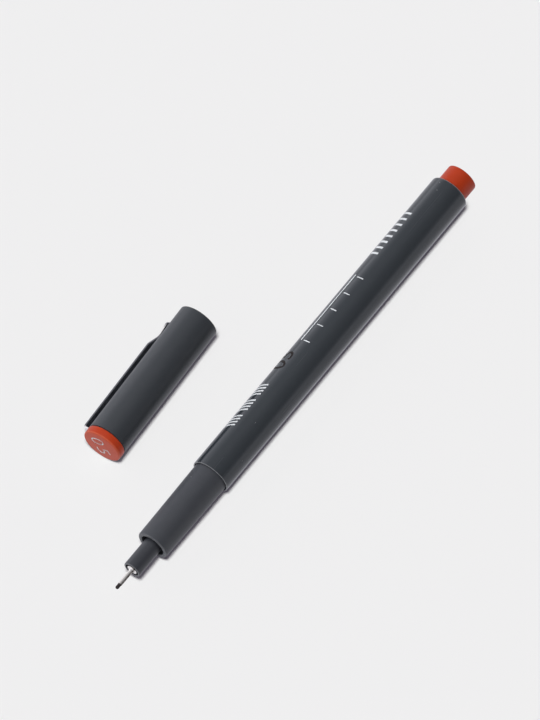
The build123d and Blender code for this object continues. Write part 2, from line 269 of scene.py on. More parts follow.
def millimetres(tree):
    """The point on the surface, in millimetres of the object's own frame."""
    place = add(tree, "ShaderNodeTexCoord")
    scale = add(tree, "ShaderNodeVectorMath", operation="SCALE", Scale=1 / MM)
    tree.links.new(place.outputs["Object"], scale.inputs[0])
    return scale.outputs[0]


def grain_group():
    """Fine grain of an etched mould, and a slow mottle of its shade."""
    group, start, end = new_group(
        "mould grain", [("Grains per mm", 9.0), ("Mottles per mm", 0.35)], ["Height", "Mottle"]
    )
    place = millimetres(group)
    fine = add(group, "ShaderNodeTexNoise", Detail=3.0, Roughness=0.6)
    slow = add(group, "ShaderNodeTexNoise", Detail=4.0, Roughness=0.55)
    for noise, label in ((fine, "Grains per mm"), (slow, "Mottles per mm")):
        group.links.new(place, noise.inputs["Vector"])
        group.links.new(start.outputs[label], noise.inputs["Scale"])
    group.links.new(fine.outputs["Fac"], end.inputs["Height"])
    group.links.new(slow.outputs["Fac"], end.inputs["Mottle"])
    return group


def hairline_group():
    """Hairlines along the piece, from drawing, moulding or handling."""
    group, start, end = new_group(
        "hairlines",
        [("Lines per mm", 6.0), ("Stretch", 0.03), ("Rarity", 0.6)],
        ["Lines", "Streaks"],
    )
    place = millimetres(group)
    squeeze = add(group, "ShaderNodeCombineXYZ", Y=1.0, Z=1.0)
    stretched = add(group, "ShaderNodeVectorMath", operation="MULTIPLY")
    noise = add(group, "ShaderNodeTexNoise", Detail=2.0, Roughness=0.5)
    sharpen = add(group, "ShaderNodeMapRange", clamp=True, From_Max=0.85)
    group.links.new(start.outputs["Stretch"], squeeze.inputs["X"])
    group.links.new(place, stretched.inputs[0])
    group.links.new(squeeze.outputs[0], stretched.inputs[1])
    group.links.new(stretched.outputs[0], noise.inputs["Vector"])
    group.links.new(start.outputs["Lines per mm"], noise.inputs["Scale"])
    group.links.new(noise.outputs["Fac"], sharpen.inputs["Value"])
    group.links.new(start.outputs["Rarity"], sharpen.inputs["From Min"])
    group.links.new(sharpen.outputs[0], end.inputs["Lines"])
    group.links.new(noise.outputs["Fac"], end.inputs["Streaks"])
    return group


def speck_group():
    """A few specks of dust, scattered in cells of which most stay clean."""
    group, start, end = new_group(
        "dust specks", [("Cells per mm", 0.45), ("Size", 0.032), ("Rarity", 0.8)], ["Dust"]
    )
    cells = add(group, "ShaderNodeTexVoronoi", Randomness=1.0)
    near = add(group, "ShaderNodeMath", operation="LESS_THAN")
    split = add(group, "ShaderNodeSeparateColor")
    chosen = add(group, "ShaderNodeMath", operation="GREATER_THAN")
    both = add(group, "ShaderNodeMath", operation="MULTIPLY")
    group.links.new(millimetres(group), cells.inputs["Vector"])
    group.links.new(start.outputs["Cells per mm"], cells.inputs["Scale"])
    group.links.new(cells.outputs["Distance"], near.inputs[0])
    group.links.new(start.outputs["Size"], near.inputs[1])
    group.links.new(cells.outputs["Color"], split.inputs[0])
    group.links.new(split.outputs[0], chosen.inputs[0])
    group.links.new(start.outputs["Rarity"], chosen.inputs[1])
    group.links.new(near.outputs[0], both.inputs[0])
    group.links.new(chosen.outputs[0], both.inputs[1])
    group.links.new(both.outputs[0], end.inputs["Dust"])
    return group


def painted_band_group():
    """Mask of a band of painted light and shade at a place along the piece, broken up by a little
    noise.
    """
    group, start, end = new_group(
        "rim rub", [("Way", (1.0, 0.0, 0.0)), ("Place", 0.0), ("Reach", 0.3)], ["Rub"]
    )
    place = millimetres(group)
    along = add(group, "ShaderNodeVectorMath", operation="DOT_PRODUCT")
    offset = add(group, "ShaderNodeMath", operation="SUBTRACT")
    distance = add(group, "ShaderNodeMath", operation="ABSOLUTE")
    fade = add(group, "ShaderNodeMapRange", clamp=True, interpolation_type="SMOOTHSTEP")
    fade.inputs["To Min"].default_value = 1.0
    fade.inputs["To Max"].default_value = 0.0
    noise = add(group, "ShaderNodeTexNoise", Scale=2.2, Detail=3.0)
    uneven = add(group, "ShaderNodeMapRange", clamp=True, From_Min=0.25, From_Max=0.6, To_Min=0.55)
    painted_light = add(group, "ShaderNodeMath", operation="MULTIPLY")
    group.links.new(place, along.inputs[0])
    group.links.new(start.outputs["Way"], along.inputs[1])
    group.links.new(along.outputs["Value"], offset.inputs[0])
    group.links.new(start.outputs["Place"], offset.inputs[1])
    group.links.new(offset.outputs[0], distance.inputs[0])
    group.links.new(distance.outputs[0], fade.inputs["Value"])
    group.links.new(start.outputs["Reach"], fade.inputs["From Max"])
    group.links.new(place, noise.inputs["Vector"])
    group.links.new(noise.outputs["Fac"], uneven.inputs["Value"])
    group.links.new(fade.outputs[0], painted_light.inputs[0])
    group.links.new(uneven.outputs[0], painted_light.inputs[1])
    group.links.new(painted_light.outputs[0], end.inputs["Rub"])
    return group


grain = grain_group()
hairlines = hairline_group()
specks = speck_group()
painted_band = painted_band_group()


# Materials
PLASTIC_IOR = 1.46
FIBRE_IOR = 1.4
INK_IOR = 1.45
FILM_IOR = 1.5
DUST_COLOUR = (0.42, 0.43, 0.45)
# A Mix node's colour sockets come after its sockets for values and vectors
MIX_COLOURS = (6, 7)
MIX_RESULT = 2


def place_group(tree, group, **values):
    """Places a shader group with its own values."""
    node = tree.nodes.new("ShaderNodeGroup")
    node.node_tree = group
    for key, value in values.items():
        node.inputs[key.replace("_", " ")].default_value = value
    return node


def start_material(name, **sockets):
    """A material with these values on the shader's own sockets, its tree and its shader."""
    material = bpy.data.materials.new(name)
    material.use_nodes = True
    tree = material.node_tree
    shader = tree.nodes["Principled BSDF"]
    for label, value in sockets.items():
        shader.inputs[label.replace("_", " ")].default_value = value
    return material, tree, shader


def blend_colours(tree, mask, first, second):
    """A colour that goes from first to second as the mask goes from 0 to 1."""
    mix = add(tree, "ShaderNodeMix", data_type="RGBA")
    for index, colour in zip(MIX_COLOURS, (first, second)):
        socket = mix.inputs[index]
        if isinstance(colour, tuple):
            socket.default_value = (*colour, 1)
        else:
            tree.links.new(colour, socket)
    tree.links.new(mask, mix.inputs[0])
    return mix.outputs[MIX_RESULT]


def vary(tree, mask, low, high):
    """A value that goes from low to high as the mask goes from 0 to 1."""
    ranged = add(tree, "ShaderNodeMapRange", clamp=True, To_Min=low, To_Max=high)
    tree.links.new(mask, ranged.inputs["Value"])
    return ranged.outputs[0]


def bump(tree, height, strength, depth_mm):
    """A surface direction that follows a height of this depth."""
    node = add(tree, "ShaderNodeBump", Strength=strength, Distance=depth_mm * MM)
    tree.links.new(height, node.inputs["Height"])
    return node.outputs["Normal"]


def with_painted_bands(tree, colour, painted_bands):
    """Adds bands of painted highlight and painted shade, each a colour and its (way, place,
    reach).
    """
    for band_colour, (way, place, reach) in painted_bands:
        painted_light = place_group(tree, painted_band, Way=way, Place=place, Reach=reach)
        colour = blend_colours(tree, painted_light.outputs["Rub"], colour, band_colour)
    return colour


def with_dust(tree, colour, rarity):
    """Adds a few specks of dust."""
    dust = place_group(tree, specks, Rarity=rarity)
    return blend_colours(tree, dust.outputs["Dust"], colour, DUST_COLOUR)


def moulded_plastic(
    name, shade, lighter, rough, grains, depth, painted_bands=(), dust=0.9, specular=0.5
):
    """Moulded plastic: a slow mottle of shade, mould grain in the relief, painted rim highlights
    and dust.
    """
    material, tree, shader = start_material(name, IOR=PLASTIC_IOR, Specular_IOR_Level=specular)
    skin = place_group(tree, grain, Grains_per_mm=grains)
    colour = blend_colours(tree, skin.outputs["Mottle"], shade, lighter)
    finished = with_dust(tree, with_painted_bands(tree, colour, painted_bands), dust)
    tree.links.new(finished, shader.inputs["Base Color"])
    tree.links.new(vary(tree, skin.outputs["Height"], *rough), shader.inputs["Roughness"])
    relief = bump(tree, skin.outputs["Height"], strength=0.6, depth_mm=depth)
    tree.links.new(relief, shader.inputs["Normal"])
    return material


def gloss_plastic(name, shade, lighter, rough, painted_bands, dust):
    """Polished plastic: hairlines from handling over a slow mottle, painted rim highlights and
    dust.
    """
    material, tree, shader = start_material(name, IOR=PLASTIC_IOR)
    skin = place_group(tree, grain, Mottles_per_mm=0.12)
    lines = place_group(tree, hairlines, Lines_per_mm=2.6, Stretch=0.012, Rarity=0.6)
    colour = blend_colours(tree, skin.outputs["Mottle"], shade, lighter)
    finished = with_dust(tree, with_painted_bands(tree, colour, painted_bands), dust)
    tree.links.new(finished, shader.inputs["Base Color"])
    tree.links.new(vary(tree, lines.outputs["Lines"], *rough), shader.inputs["Roughness"])
    relief = bump(tree, lines.outputs["Streaks"], strength=0.2, depth_mm=0.012)
    tree.links.new(relief, shader.inputs["Normal"])
    return material


def polished_steel(name, shade, lighter, rough, stretch, painted_bands=()):
    """Drawn or rolled steel, with fine lines along the work and bands of painted highlight and
    shade.
    """
    material, tree, shader = start_material(name, Metallic=1.0)
    lines = place_group(tree, hairlines, Lines_per_mm=14.0, Stretch=stretch, Rarity=0.55)
    colour = blend_colours(tree, lines.outputs["Streaks"], shade, lighter)
    tree.links.new(with_painted_bands(tree, colour, painted_bands), shader.inputs["Base Color"])
    tree.links.new(vary(tree, lines.outputs["Streaks"], *rough), shader.inputs["Roughness"])
    relief = bump(tree, lines.outputs["Streaks"], strength=0.12, depth_mm=0.01)
    tree.links.new(relief, shader.inputs["Normal"])
    return material


def bonded_fibre(name, shade, lighter, strands):
    """Bonded fibre: parallel strands, matt, with ink in the gaps."""
    material, tree, shader = start_material(name, IOR=FIBRE_IOR)
    lines = place_group(tree, hairlines, Lines_per_mm=strands, Stretch=0.06, Rarity=0.45)
    colour = blend_colours(tree, lines.outputs["Streaks"], shade, lighter)
    tree.links.new(colour, shader.inputs["Base Color"])
    rough = vary(tree, lines.outputs["Lines"], low=0.55, high=0.8)
    tree.links.new(rough, shader.inputs["Roughness"])
    relief = bump(tree, lines.outputs["Streaks"], strength=0.5, depth_mm=0.04)
    tree.links.new(relief, shader.inputs["Normal"])
    return material


def printed_ink(name, shade, worn, specular):
    """Screen-printed ink, slightly uneven where it thins out."""
    material, tree, shader = start_material(name, IOR=INK_IOR, Specular_IOR_Level=specular)
    skin = place_group(tree, grain, Grains_per_mm=14.0, Mottles_per_mm=2.5)
    colour = blend_colours(tree, skin.outputs["Mottle"], worn, shade)
    tree.links.new(colour, shader.inputs["Base Color"])
    rough = vary(tree, skin.outputs["Height"], low=0.4, high=0.6)
    tree.links.new(rough, shader.inputs["Roughness"])
    return material


def clear_film(name, shade, lighter):
    """Thin clear wrap, a little wavy along its length."""
    material, tree, shader = start_material(
        name, IOR=FILM_IOR, Transmission_Weight=1.0, Roughness=0.08
    )
    lines = place_group(tree, hairlines, Lines_per_mm=1.5, Stretch=0.1, Rarity=0.5)
    colour = blend_colours(tree, lines.outputs["Streaks"], shade, lighter)
    tree.links.new(colour, shader.inputs["Base Color"])
    relief = bump(tree, lines.outputs["Streaks"], strength=0.2, depth_mm=0.05)
    tree.links.new(relief, shader.inputs["Normal"])
    return material


# Sizes in millimetres, read from the frame
barrel_front, barrel_back, _ = span("barrel", pen_origin, pen_way)
grip_front, grip_back, _ = span("grip_section", pen_origin, pen_way)
nose_front, collar_back, _ = span("nib_holder", pen_origin, pen_way)
needle_front, skirt_back, skirt_r = span("needle_sleeve", pen_origin, pen_way)
nib_front, nib_back, nib_r = span("fibre_nib", pen_origin, pen_way)
plug_front, plug_back, plug_r = span("tail_plug", pen_origin, pen_way)
_, tube_end, cap_r = span("cap_tube", cap_origin, cap_way)
seal_mouth, seal_back, spigot_r = span("inner_cap", cap_origin, cap_way)
spigot_front, cap_end, _ = span("cap_plug", cap_origin, cap_way)
clip_tip, _, _ = span("clip", cap_origin, cap_way)
cap_bore_r = mounts["cap_bore"]["dims"]["r_mm"]
seal_r = mounts["seal_bore"]["dims"]["r_mm"]

# Walls, steps and edges that the frame doesn't state
FIT = 0.03
SKIN = 0.004
BARREL_WALL = 0.95
LIP_WALL = 0.38
LIP_DEPTH = 1.2
LIP_EDGE = 0.12
LIP_OUTER_EDGE = 0.15
BARREL_END_ROUND = 0.7
BORE_EDGE = 0.12
GRIP_LIP_GAP = 0.17
GRIP_TAPER = 0.25
GRIP_EDGE = 0.4
GRIP_INNER_EDGE = 0.16
STEM_WALL = 0.85
RECESS_DEPTH = 5.5
RECESS_GAP = 0.85
WEB_LENGTH = 2.0
NOSE_CLEARANCE = 0.05
COLLAR_STEP = 0.6
NOSE_EDGE = 0.2
NOSE_MOUTH_STEP = 0.36
NOSE_MOUTH_DEPTH = 0.5
WICK_BORE = 1.15
BELL_SINK = 0.04
BELL_RISE = 0.77
BELL_DROP = 0.5
BELL_ROUND_SHARE = 0.98
NEEDLE_R = 0.54
NEEDLE_EDGE = 0.03
SKIRT_WALL = 0.35
NIB_ROUND_SHARE = 0.96
TAIL_WALL = 1.0
TAIL_FLOOR = 1.6
TAIL_EDGE = 0.3
CAP_EDGE = 0.18
TUBE_REAR_EDGE = 0.12
LEDGE_LENGTH = 1.4
LEDGE_HEIGHT = 1.25
SEAL_WALL = 0.55
SEAL_FLANGE = 1.2
SEAL_LEAD = 0.3
SEAL_FLOOR = 0.5
SEAL_EDGE = 0.1
SPIGOT_GAP = 0.25
SPIGOT_FLOOR_GAP = 0.3
CAP_PLUG_EDGE = 0.4
CAP_PLUG_REAR_EDGE = 0.14
CAP_JOINT_GAP = 0.2
CLIP_WIDTH = 3.8
CLIP_THICKNESS = 0.45
CLIP_STANDOFF = 1.95
CLIP_BEND = 11.1
CLIP_TOUCH = 8.4
CLIP_TOUCH_GAP = 0.08
CLIP_TIP_STANDOFF = 1.25
CLIP_CORNER = 1.3
CLIP_FLARE_MIDDLE = 3.1
CLIP_FLARE_REACH = 2.4
CLIP_BEND_TANGENT = 0.1
CLIP_TOUCH_TANGENT = 0.6
CLIP_ROOT_TANGENT = 0.75
CLIP_EDGE = 0.06
CLIP_EDGE_STEPS = 2
CLIP_EDGE_ANGLE_DEG = 40
TONGUE_WIDTH = 2.6
TONGUE_SHOULDER = 0.35
TONGUE_TOP_GAP = 0.12
TONGUE_SIDE_GAP = 0.2
TONGUE_FLOOR_GAP = 0.22
HOOK_TANGENT = 0.4
HOOK_LENGTH = 2.2
HOOK_OUTER_GAP = 0.45
HOOK_INNER_GAP = 0.16
HOOK_END_GAP = 0.4

barrel_r = mounts["barrel"]["dims"]["r_mm"] - SKIN
plug_back = plug_back - SKIN
lip_r = barrel_r - LIP_WALL
bore_r = barrel_r - BARREL_WALL
grip_rear_r = lip_r - GRIP_LIP_GAP
grip_front_r = grip_rear_r - GRIP_TAPER
nose_r = seal_r - NOSE_CLEARANCE
collar_r = nose_r + COLLAR_STEP
recess_r = nose_r + RECESS_GAP
recess_floor = grip_front + RECESS_DEPTH
web_back = recess_floor + WEB_LENGTH
stem_r = bore_r - FIT
chamber_r = stem_r - STEM_WALL
socket_r = skirt_r + FIT
bell_back = nose_front + BELL_SINK
ledge_back = cap_bore_length + LEDGE_LENGTH
ledge_r = cap_bore_r - LEDGE_HEIGHT
seal_outer_r = seal_r + SEAL_WALL
spigot_bore_r = seal_outer_r + SPIGOT_GAP
half_sheet = CLIP_THICKNESS / 2
clip_arm_r = cap_r + CLIP_STANDOFF - half_sheet
clip_touch_r = cap_r + CLIP_TOUCH_GAP + half_sheet
clip_tip_r = cap_r + CLIP_TIP_STANDOFF
tongue_at = tube_end - TONGUE_TOP_GAP - half_sheet
hook_r = cap_bore_r - HOOK_OUTER_GAP - half_sheet
notch_half = TONGUE_WIDTH / 2 + TONGUE_SIDE_GAP


# Bands of painted highlight and painted shade, and their colours
NEEDLE_LOW_SIDE = (0, -0.957, -0.291)
STEEL_GLINT = (0.87, 0.84, 0.8)
STEEL_PAINTED_SHADE = (0.03, 0.02, 0.015)
PLASTIC_RIM_HIGHLIGHT = (0.12, 0.125, 0.135)
LIP_HIGHLIGHT = (0.24, 0.245, 0.26)
BARREL_END_HIGHLIGHT = (0.4, 0.36, 0.355)
ORANGE_EDGE_HIGHLIGHT = (0.54, 0.1, 0.045)


def pen_painted_band(place, reach):
    """A band of painted light at a place along the pen, in the object frame that the material
    reads.
    """
    return tuple(pen_way), pen_way.dot(pen_origin) / MM + place, reach


def cap_painted_band(place, reach):
    """A band of painted light at a place along the cap, in the object frame that the material
    reads.
    """
    return tuple(cap_way), cap_way.dot(cap_origin) / MM + place, reach


def needle_shade_streak(place_share, reach_share):
    """A painted dark streak of shade along the needle, on the low side that faces away from the
    cap.
    """
    way = Vector(NEEDLE_LOW_SIDE).normalized()
    place = way.dot(pen_origin) / MM + NEEDLE_R * place_share
    return tuple(way), place, NEEDLE_R * reach_share


# Finishes of the pen, the cap and the clip
barrel_plastic = gloss_plastic(
    "barrel plastic",
    shade=(0.024, 0.029, 0.035),
    lighter=(0.031, 0.037, 0.043),
    rough=(0.2, 0.36),
    painted_bands=[
        # Painted highlights on the front rim and the rear edge
        (LIP_HIGHLIGHT, pen_painted_band(barrel_front, reach=0.18)),
        (BARREL_END_HIGHLIGHT, pen_painted_band(barrel_back, reach=0.46)),
    ],
    dust=0.86,
)
grip_plastic = moulded_plastic(
    "grip plastic",
    shade=(0.038, 0.041, 0.048),
    lighter=(0.048, 0.051, 0.059),
    rough=(0.44, 0.54),
    grains=8.0,
    depth=0.02,
    # Painted highlight on the grip's front rim
    painted_bands=[(PLASTIC_RIM_HIGHLIGHT, pen_painted_band(grip_front, reach=0.24))],
)
nose_plastic = moulded_plastic(
    "nose plastic",
    shade=(0.026, 0.028, 0.034),
    lighter=(0.033, 0.035, 0.041),
    rough=(0.34, 0.44),
    grains=8.0,
    depth=0.012,
    # Painted highlight on the nose's front rim
    painted_bands=[(PLASTIC_RIM_HIGHLIGHT, pen_painted_band(nose_front, reach=0.22))],
)
cap_plastic = moulded_plastic(
    "cap plastic",
    shade=(0.028, 0.032, 0.037),
    lighter=(0.036, 0.04, 0.046),
    rough=(0.38, 0.48),
    grains=8.0,
    depth=0.015,
    # Painted highlight on the cap's mouth rim
    painted_bands=[(PLASTIC_RIM_HIGHLIGHT, cap_painted_band(0, reach=0.25))],
    dust=0.86,
)
orange_plastic = moulded_plastic(
    "orange plastic",
    shade=(0.41, 0.036, 0.006),
    lighter=(0.48, 0.043, 0.008),
    rough=(0.4, 0.5),
    grains=6.0,
    depth=0.012,
    # Painted highlight along the cap plug's end edge
    painted_bands=[(ORANGE_EDGE_HIGHLIGHT, cap_painted_band(cap_end - CAP_PLUG_EDGE / 2, reach=0.32))],
    dust=0.95,
    specular=0.3,
)
seal_plastic = moulded_plastic(
    "seal plastic",
    shade=(0.66, 0.66, 0.63),
    lighter=(0.74, 0.74, 0.71),
    rough=(0.4, 0.5),
    grains=4.0,
    depth=0.012,
    dust=0.97,
)
tip_steel = polished_steel(
    "tip steel",
    shade=(0.58, 0.55, 0.51),
    lighter=(0.7, 0.67, 0.62),
    rough=(0.1, 0.18),
    stretch=0.05,
    painted_bands=[
        # Painted highlight on the needle's bell
        (STEEL_GLINT, pen_painted_band(bell_back, reach=1.1)),
        # Painted dark streak of shade along the needle's low side
        (STEEL_PAINTED_SHADE, needle_shade_streak(place_share=0.75, reach_share=1.0)),
    ],
)
clip_steel = polished_steel(
    "clip steel",
    shade=(0.62, 0.62, 0.64),
    lighter=(0.74, 0.74, 0.76),
    rough=(0.08, 0.16),
    stretch=0.03,
)
clip_cut_edge = polished_steel(
    "clip cut edge",
    shade=(0.1, 0.1, 0.11),
    lighter=(0.17, 0.17, 0.18),
    rough=(0.4, 0.6),
    stretch=0.03,
    painted_bands=[
        # Painted glint on the clip's flared tip
        (STEEL_GLINT, cap_painted_band(clip_tip + CLIP_FLARE_MIDDLE, CLIP_FLARE_REACH)),
        # Painted glint at the clip's root bend
        (STEEL_GLINT, cap_painted_band(tongue_at, CLIP_ROOT_TANGENT)),
    ],
)
nib_fibre = bonded_fibre(
    "nib fibre", shade=(0.012, 0.009, 0.009), lighter=(0.036, 0.028, 0.027), strands=9.0
)
wick_fibre = bonded_fibre(
    "wick fibre", shade=(0.05, 0.05, 0.055), lighter=(0.12, 0.12, 0.13), strands=6.0
)
wad_fibre = bonded_fibre(
    "wad fibre", shade=(0.04, 0.04, 0.045), lighter=(0.11, 0.11, 0.12), strands=3.0
)
white_ink = printed_ink(
    "white ink", shade=(0.84, 0.87, 0.9), worn=(0.68, 0.71, 0.74), specular=0.5
)
dark_ink = printed_ink(
    "dark ink", shade=(0.01, 0.007, 0.007), worn=(0.018, 0.013, 0.012), specular=0.12
)
film_plastic = clear_film("clear film", shade=(0.8, 0.8, 0.79), lighter=(0.9, 0.9, 0.89))


# Pieces of the pen
def make_barrel():
    """The long tube, with a thin lip in front that the grip goes into."""
    piece = turn("barrel_tube", [
        (barrel_front, lip_r, LIP_EDGE),
        (barrel_front, barrel_r, LIP_OUTER_EDGE),
        (barrel_back, barrel_r, BARREL_END_ROUND),
        (barrel_back, bore_r, BORE_EDGE),
        (LIP_DEPTH, bore_r, 0),
        (LIP_DEPTH, lip_r, 0),
    ])
    lay(piece, pen_lie)
    settle(piece, [barrel_plastic], "pen", "barrel")
    return piece


def make_grip():
    """The tapered grip, with a recess round the nose and a stem inside the barrel."""
    piece = turn("grip_body", [
        (grip_front, recess_r, GRIP_INNER_EDGE),
        (grip_front, grip_front_r, GRIP_EDGE),
        (barrel_front, grip_rear_r, 0),
        (LIP_DEPTH, grip_rear_r, 0),
        (LIP_DEPTH, stem_r, 0),
        (grip_back, stem_r, 0),
        (grip_back, chamber_r, 0),
        (web_back, chamber_r, 0),
        (web_back, nose_r + FIT, 0),
        (recess_floor, nose_r + FIT, 0),
        (recess_floor, recess_r, 0),
    ])
    lay(piece, pen_lie)
    settle(piece, [grip_plastic], "pen", "grip_section")


def make_nose():
    """The slim nose, with a stepped mouth in front and a collar behind."""
    piece = turn("nose_body", [
        (nose_front, socket_r + NOSE_MOUTH_STEP, 0),
        (nose_front, nose_r, NOSE_EDGE),
        (web_back, nose_r, 0),
        (web_back, collar_r, 0),
        (collar_back, collar_r, 0),
        (collar_back, WICK_BORE, 0),
        (skirt_back, WICK_BORE, 0),
        (skirt_back, socket_r, 0),
        (nose_front + NOSE_MOUTH_DEPTH, socket_r, 0),
        (nose_front + NOSE_MOUTH_DEPTH, socket_r + NOSE_MOUTH_STEP, 0),
    ], FINE_TURN_STEPS)
    lay(piece, pen_lie)
    settle(piece, [nose_plastic], "pen", "nib_holder")


def make_needle():
    """The steel tube, with its flared bell and the skirt pressed into the nose."""
    bore = nib_r + FIT
    piece = turn("needle_tube", [
        (needle_front, bore, 0),
        (needle_front, NEEDLE_R, NEEDLE_EDGE),
        (bell_back, NEEDLE_R, BELL_RISE * BELL_ROUND_SHARE),
        (bell_back, NEEDLE_R + BELL_RISE, 0),
        (bell_back + BELL_DROP, NEEDLE_R + BELL_RISE, 0),
        (bell_back + BELL_DROP, skirt_r, 0),
        (skirt_back, skirt_r, 0),
        (skirt_back, skirt_r - SKIRT_WALL, 0),
        (bell_back + BELL_DROP + SKIRT_WALL, skirt_r - SKIRT_WALL, 0),
        (bell_back + BELL_DROP + SKIRT_WALL, bore, 0),
    ], FINE_TURN_STEPS)
    lay(piece, pen_lie)
    settle(piece, [tip_steel], "pen", "needle_sleeve")
    return piece


def make_nib():
    """The round-ended fibre that writes."""
    piece = turn("nib_point", [
        (nib_front, 0, 0),
        (nib_front, nib_r, nib_r * NIB_ROUND_SHARE),
        (nib_back, nib_r, 0),
        (nib_back, 0, 0),
    ], FINE_TURN_STEPS)
    lay(piece, pen_lie)
    settle(piece, [nib_fibre], "pen", "fibre_nib")
    return piece


def make_tail():
    """The plug in the barrel's rear end."""
    inner_r = plug_r - TAIL_WALL
    piece = turn("tail_button", [
        (plug_back - TAIL_FLOOR, 0, 0),
        (plug_back - TAIL_FLOOR, inner_r, 0),
        (plug_front, inner_r, 0),
        (plug_front, plug_r, 0),
        (plug_back, plug_r, TAIL_EDGE),
        (plug_back, 0, 0),
    ])
    lay(piece, pen_lie)
    settle(piece, [orange_plastic], "pen", "tail_plug", tints_table=True)
    return piece


# Pieces of the cap, drawn with the clip on their +Z side
def make_cap_tube():
    """The cap's tube, with a ledge inside and a notch for the clip's tongue."""
    piece = turn("cap_shell", [
        (0, cap_bore_r, CAP_EDGE),
        (0, cap_r, CAP_EDGE),
        (tube_end, cap_r, TUBE_REAR_EDGE),
        (tube_end, cap_bore_r, 0),
        (ledge_back, cap_bore_r, 0),
        (ledge_back, ledge_r, 0),
        (cap_bore_length, ledge_r, 0),
        (cap_bore_length, cap_bore_r, 0),
    ])
    notch_floor = tongue_at - half_sheet - TONGUE_FLOOR_GAP
    cut_block(
        piece,
        (notch_floor, -notch_half, ledge_r),
        (tube_end + OVERRUN, notch_half, cap_r + OVERRUN),
    )
    lay(piece, cap_lie)
    settle(piece, [cap_plastic], "cap", "cap_tube")


def make_inner_cap():
    """The sealing sleeve, with a flange that stands on the ledge."""
    piece = turn("seal_sleeve", [
        (seal_back - SEAL_FLOOR, 0, 0),
        (seal_back - SEAL_FLOOR, seal_r, 0),
        (seal_mouth + SEAL_LEAD, seal_r, 0),
        (seal_mouth, seal_r + SEAL_LEAD, 0),
        (seal_mouth, seal_outer_r, SEAL_EDGE),
        (ledge_back, seal_outer_r, 0),
        (ledge_back, spigot_r, 0),
        (ledge_back + SEAL_FLANGE, spigot_r, 0),
        (ledge_back + SEAL_FLANGE, seal_outer_r, 0),
        (seal_back, seal_outer_r, SEAL_EDGE),
        (seal_back, 0, 0),
    ], FINE_TURN_STEPS)
    lay(piece, cap_lie)
    settle(piece, [seal_plastic], "cap", "inner_cap")


def make_cap_plug():
    """The end plug, whose spigot has a pocket for the clip's hook."""
    spigot_floor = seal_back + SPIGOT_FLOOR_GAP
    piece = turn("cap_button", [
        (spigot_floor, 0, 0),
        (spigot_floor, spigot_bore_r, 0),
        (spigot_front, spigot_bore_r, 0),
        (spigot_front, spigot_r, 0),
        (tube_end + CAP_JOINT_GAP, spigot_r, 0),
        (tube_end + CAP_JOINT_GAP, cap_r, CAP_PLUG_REAR_EDGE),
        (cap_end, cap_r, CAP_PLUG_EDGE),
        (cap_end, 0, 0),
    ])
    pocket_r = hook_r - half_sheet - HOOK_INNER_GAP
    pocket_end = tongue_at - HOOK_LENGTH - HOOK_END_GAP
    cut_block(
        piece, (pocket_end, -notch_half, pocket_r), (tube_end, notch_half, cap_r + OVERRUN)
    )
    lay(piece, cap_lie)
    settle(piece, [orange_plastic], "cap", "cap_plug", tints_table=True)
    return piece


def make_clip():
    """The bent strip, from its hook in the plug to its curled tip."""
    piece = draw_chain("clip_strip", [
        (tongue_at - HOOK_LENGTH, hook_r),
        (tongue_at, hook_r),
        (tongue_at, cap_r),
        (tongue_at, cap_r + TONGUE_SHOULDER),
        (tongue_at, clip_arm_r),
        (CLIP_BEND, clip_arm_r),
        (CLIP_TOUCH, clip_touch_r),
        (clip_tip + half_sheet, clip_tip_r),
    ])
    for place, tangent in (
        ((tongue_at, hook_r), HOOK_TANGENT),
        ((tongue_at, clip_arm_r), CLIP_ROOT_TANGENT),
        ((CLIP_BEND, clip_arm_r), CLIP_BEND_TANGENT),
        ((CLIP_TOUCH, clip_touch_r), CLIP_TOUCH_TANGENT),
    ):
        round_corner(piece, place, tangent)
    edit(piece)
    bpy.ops.transform.translate(value=(0, -CLIP_WIDTH / 2, 0))
    bpy.ops.mesh.extrude_edges_move(TRANSFORM_OT_translate={"value": (0, CLIP_WIDTH, 0)})
    done()
    pick(piece, lambda at: at.z < cap_r + WELD)
    narrower = (1, TONGUE_WIDTH / CLIP_WIDTH, 1)
    bpy.ops.transform.resize(value=narrower, center_override=(0, 0, 0))
    done()
    pick(piece, lambda at: at.x < clip_tip + half_sheet + WELD)
    bpy.ops.mesh.bevel(offset=CLIP_CORNER, segments=CORNER_STEPS, affect="VERTICES")
    done()
    finishes = [clip_steel, clip_cut_edge]
    for finish in finishes:
        piece.data.materials.append(finish)
    cut_edge_index = finishes.index(clip_cut_edge)
    apply_modifier(
        piece, "SOLIDIFY", thickness=CLIP_THICKNESS, offset=0, material_offset_rim=cut_edge_index
    )
    apply_modifier(
        piece, "BEVEL", width=CLIP_EDGE, segments=CLIP_EDGE_STEPS, limit_method="ANGLE",
        angle_limit=math.radians(CLIP_EDGE_ANGLE_DEG), material=cut_edge_index,
    )
    lay(piece, cap_lie)
    settle(piece, finishes, "clip", "clip", tints_table=True)


# Plain print: a rule with ticks, hatched patches, a row of bars and the line width
PRINT_LIFT = 0.014
PRINT_THICKNESS = 0.01
PRINT_STRIP = 0.25
PRINT_HEIGHT = 5.0
RULE_ROLL_DEG = 45
RULE_SPAN = (40.5, 62.2)
RULE_WIDTH = 0.38
TICK_ROLL_DEG = 23
TICK_PLACES = (40.6, 45.9, 51.1, 56.4, 61.7)
TICK_HEIGHT = 1.9
TICK_WIDTH = 0.28
HATCH_ROLL_DEG = 48.5
HATCH_PLACES = (13.7, 18.8, 23.9)
HATCH_OFFSETS = (-1.5, -0.5, 0.5, 1.5)
HATCH_HEIGHT = 4.1
HATCH_WIDTH = 0.45
HATCH_SLANT_DEG = 16
BAR_ROLL_DEG = 45
BAR_PLACES = (69.5, 71.4, 73.3, 75.2, 77.1, 79.0, 80.9, 82.8)
BAR_HEIGHT = 2.8
BAR_WIDTH = 0.6
NUMBER_TEXT = "05"
NUMBER_PLACE = 33.9
